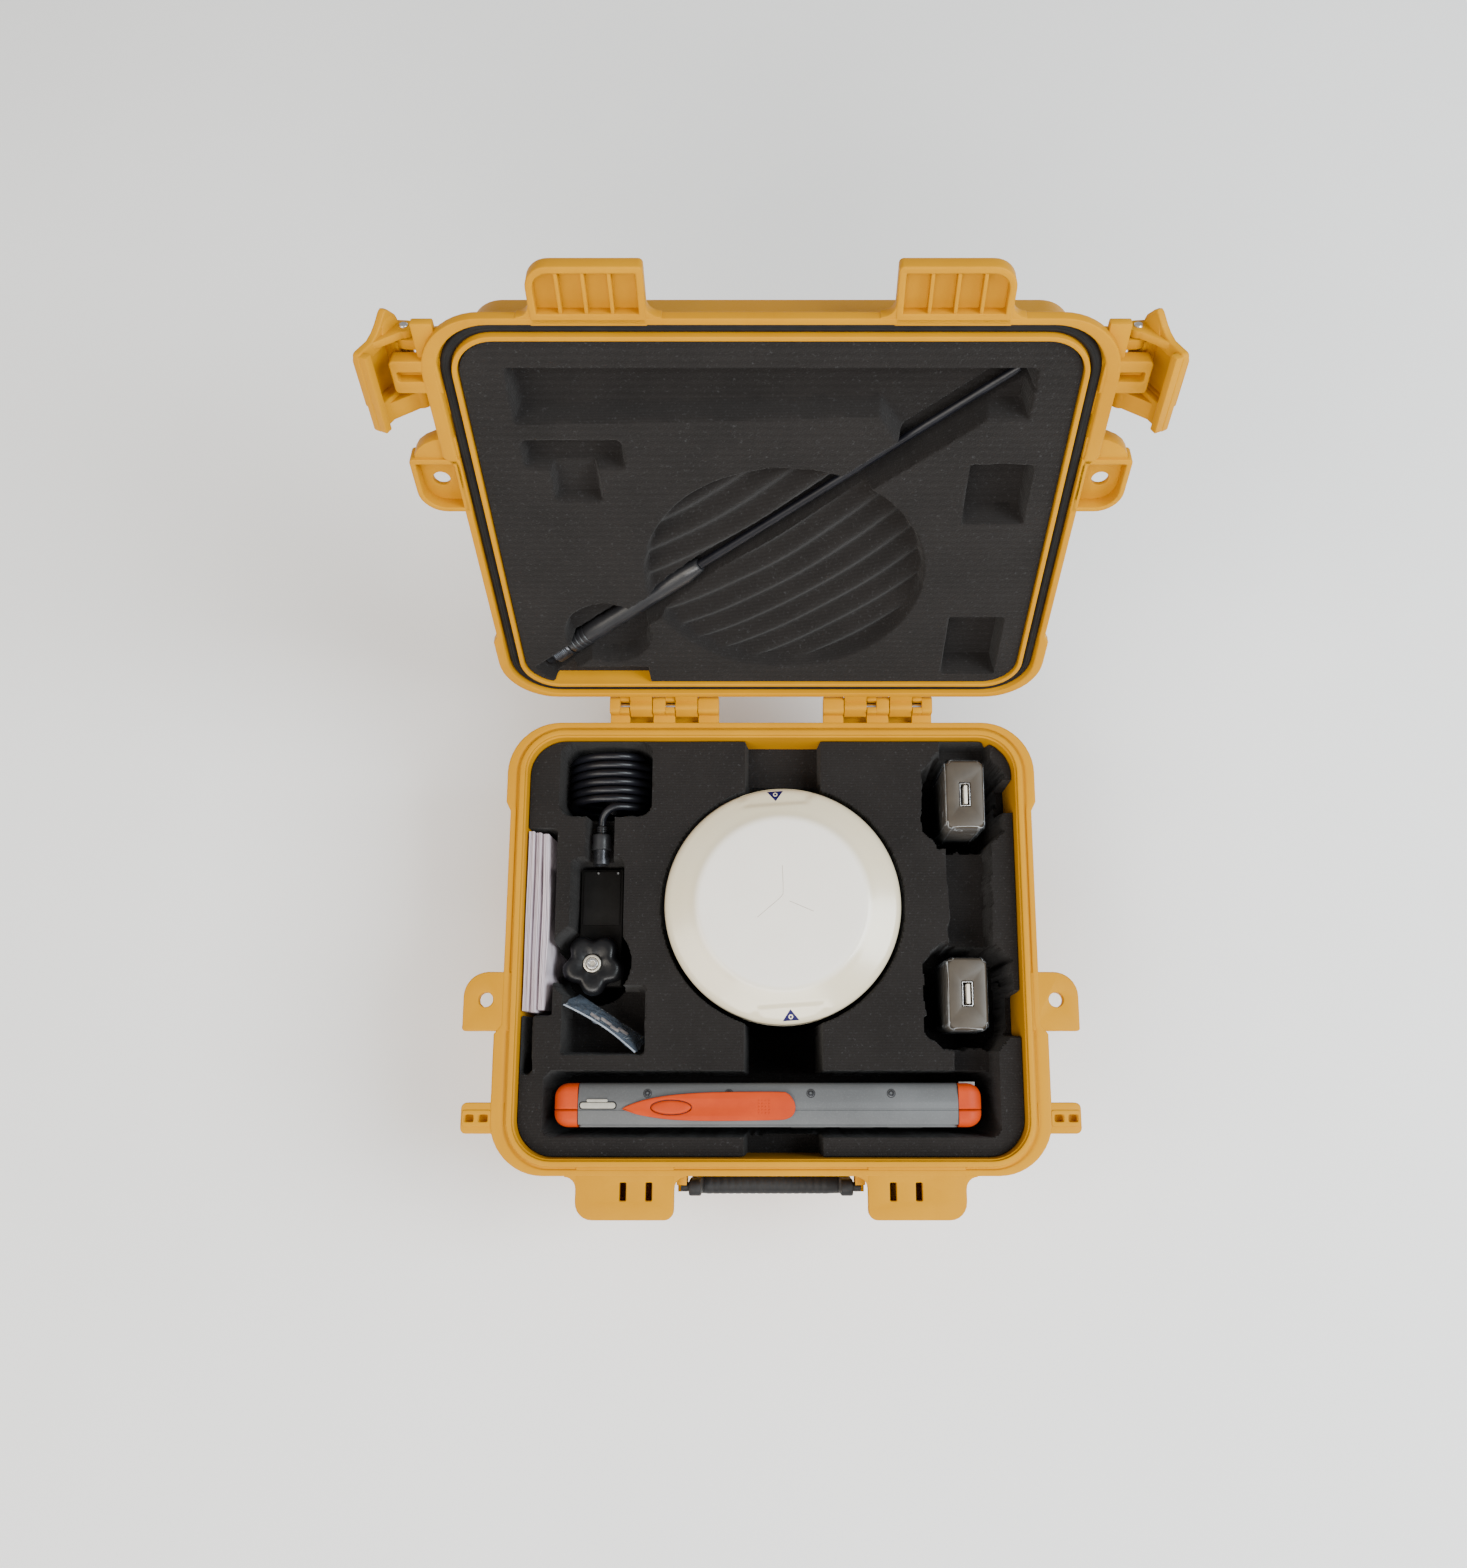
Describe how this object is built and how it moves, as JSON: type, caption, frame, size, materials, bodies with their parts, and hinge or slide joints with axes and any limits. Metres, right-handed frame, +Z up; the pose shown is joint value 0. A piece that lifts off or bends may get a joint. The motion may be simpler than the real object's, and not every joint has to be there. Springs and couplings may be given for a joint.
{
  "type": "gnss receiver kit",
  "caption": "Round GNSS surveying receiver with its hand-held controller, radio whip, chargers and pole clamp in the cut foam of an open yellow hard case.",
  "frame": {"origin": "centre of the case's underside, on the pad it stands on", "axes": "+Z up, +X to the right facing the open case, +Y towards the hinge"},
  "size_m": [0.3446, 0.3984, 0.3789],
  "materials": {
    "case": "satin",
    "foam": "matte",
    "gasket": "matte",
    "grip": "satin",
    "steel": "satin",
    "brass": "satin",
    "aluminium": "satin",
    "radome": "satin",
    "housing": "satin",
    "bumper": "matte",
    "board": "satin",
    "patch": "matte",
    "controller_grey": "satin",
    "orange": "satin",
    "screen": "gloss",
    "keypad": "matte",
    "charger": "gloss",
    "knob": "satin",
    "cable": "satin",
    "paper": "matte",
    "film": "gloss",
    "whip": "satin"
  },
  "bodies": {
    "case": {"base_shell": "case", "base_foam": "foam", "foam_floor_pad": "foam", "hinge_pin_left": "steel", "hinge_pin_right": "steel", "cable_coil": "cable", "cable_lead": "cable", "cable_tail": "cable", "cable_plug_a": "grip", "cable_plug_b": "grip"},
    "handle": {"handle": "grip"},
    "lid": {"lid_shell": "case", "lid_gasket": "gasket", "lid_foam": "foam", "latch_left_pin": "steel", "latch_right_pin": "steel"},
    "latch_left": {"latch_left_lever": "case"},
    "latch_right": {"latch_right_lever": "case"},
    "whip": {"whip_rod": "whip", "whip_sleeve": "whip", "whip_connector": "brass"},
    "receiver": {"receiver_top_cover": "radome", "receiver_seal_ring": "bumper", "receiver_housing": "housing", "receiver_bumper": "bumper", "receiver_bottom_plate": "aluminium", "pole_thread_insert": "brass", "radio_antenna_socket": "brass", "battery_bay": "grip", "battery_pack": "grip", "main_board": "board", "receiver_module": "steel", "antenna_ground_plate": "aluminium", "antenna_patch_lower": "patch", "antenna_patch_upper": "patch", "receiver_front_panel": "grip", "data_socket": "steel"},
    "power_button": {"power_button": "orange"},
    "port_cover": {"port_cover": "bumper"},
    "battery_door": {"battery_door": "housing"},
    "controller": {"controller_front_shell": "controller_grey", "controller_back_shell": "controller_grey", "controller_cap_left": "orange", "controller_cap_right": "orange", "controller_screen": "screen", "controller_keypad": "keypad", "controller_grip": "orange"},
    "controller_button": {"controller_button": "orange"},
    "charger_1": {"charger_1_body": "charger", "charger_1_usb_port": "steel"},
    "charger_2": {"charger_2_body": "charger", "charger_2_usb_port": "steel"},
    "clamp": {"clamp_bracket": "knob"},
    "clamp_jaw": {"clamp_jaw": "knob"},
    "clamp_knob": {"clamp_knob": "knob", "clamp_screw": "steel"},
    "manuals": {"manual_1": "paper", "manual_2": "paper", "manual_3": "paper"},
    "bag": {"spares_bag": "film"}
  },
  "joints": [
    {"name": "lid_hinge", "type": "hinge", "parent": "case", "child": "lid", "pos_m": [0, 0.1314, 0.1228], "axis": [-1, 0, 0], "range_deg": [-112.6, 0]},
    {"name": "handle_fold", "type": "hinge", "parent": "case", "child": "handle", "pos_m": [0, -0.1285, 0.109], "axis": [-1, 0, 0], "range_deg": [0, 100]},
    {"name": "latch_right_swing", "type": "hinge", "parent": "lid", "child": "latch_right", "pos_m": [0.154, 0.22844, 0.32547], "axis": [0, 0.3843, 0.9232], "range_deg": [-27, 50]},
    {"name": "latch_left_swing", "type": "hinge", "parent": "lid", "child": "latch_left", "pos_m": [-0.154, 0.22844, 0.32547], "axis": [0, -0.3843, -0.9232], "range_deg": [-27, 50]},
    {"name": "whip_lift", "type": "slide", "parent": "lid", "child": "whip", "axis": [0, -0.9232, 0.3843], "range_m": [0, 0.06]},
    {"name": "receiver_lift", "type": "slide", "parent": "case", "child": "receiver", "axis": [0, 0, 1], "range_m": [0, 0.14]},
    {"name": "power_button_press", "type": "slide", "parent": "receiver", "child": "power_button", "axis": [0, 1, 0], "range_m": [0, 0.0012], "stiffness_N_per_m": 300, "springref_m": -0.001},
    {"name": "port_cover_swing", "type": "hinge", "parent": "receiver", "child": "port_cover", "pos_m": [0.0065, -0.0389, 0.0466], "axis": [1, 0, 0], "range_deg": [0, 90]},
    {"name": "battery_door_swing", "type": "hinge", "parent": "receiver", "child": "battery_door", "pos_m": [0.0065, 0.0799, 0.0411], "axis": [-1, 0, 0], "range_deg": [0, 90]},
    {"name": "controller_lift", "type": "slide", "parent": "case", "child": "controller", "axis": [0, 0, 1], "range_m": [0, 0.1]},
    {"name": "controller_button_press", "type": "slide", "parent": "controller", "child": "controller_button", "axis": [0, 0, -1], "range_m": [0, 0.0006], "stiffness_N_per_m": 400, "springref_m": -0.001},
    {"name": "charger_1_lift", "type": "slide", "parent": "case", "child": "charger_1", "axis": [0, 0, 1], "range_m": [0, 0.075]},
    {"name": "charger_2_lift", "type": "slide", "parent": "case", "child": "charger_2", "axis": [0, 0, 1], "range_m": [0, 0.075]},
    {"name": "clamp_lift", "type": "slide", "parent": "case", "child": "clamp", "axis": [0, 0, 1], "range_m": [0, 0.08]},
    {"name": "clamp_knob_turn", "type": "hinge", "parent": "clamp", "child": "clamp_knob", "pos_m": [-0.0987, -0.0106, 0.0915], "axis": [0, 0, -1], "range_deg": [0, 2520]},
    {"name": "clamp_jaw_slide", "type": "slide", "parent": "clamp", "child": "clamp_jaw", "axis": [0, 0, 1], "range_m": [0, 0.009]},
    {"name": "manuals_lift", "type": "slide", "parent": "case", "child": "manuals", "axis": [0, 0, 1], "range_m": [0, 0.07]},
    {"name": "bag_lift", "type": "slide", "parent": "case", "child": "bag", "axis": [0, 0, 1], "range_m": [0, 0.04]}
  ],
  "couplings": [
    {"joint": "clamp_jaw_slide", "follows": "clamp_knob_turn", "m_per_rad": 0.00019894}
  ]
}
